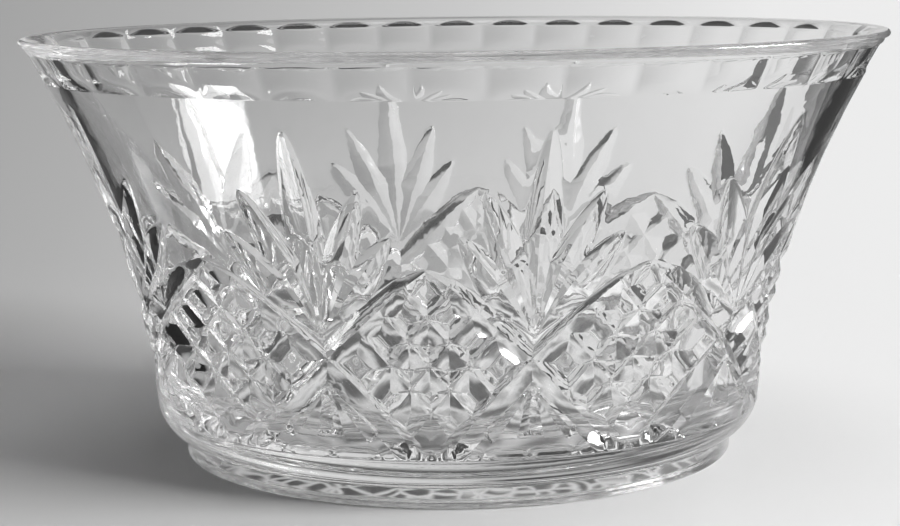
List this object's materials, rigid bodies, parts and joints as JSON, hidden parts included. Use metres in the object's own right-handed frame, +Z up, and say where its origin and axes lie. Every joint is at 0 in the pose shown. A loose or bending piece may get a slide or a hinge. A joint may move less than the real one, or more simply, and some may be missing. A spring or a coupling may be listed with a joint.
{
  "type": "champagne chiller",
  "caption": "Oval champagne chiller in clear cut glass: a flared open bowl with fan and diamond cuts and a thumbprint band, on a low oval foot ring; holds iced bottles.",
  "frame": {"origin": "middle of the oval foot, on the table", "axes": "+X along the long axis of the oval, +Z up out of the mouth, the pictured front faces -Y"},
  "size_m": [0.3556, 0.2586, 0.1775],
  "materials": {
    "crystal": "fire-polished clear crystal"
  },
  "bodies": {
    "root": {"bowl": "crystal", "foot_ring": "crystal"}
  },
  "joints": []
}
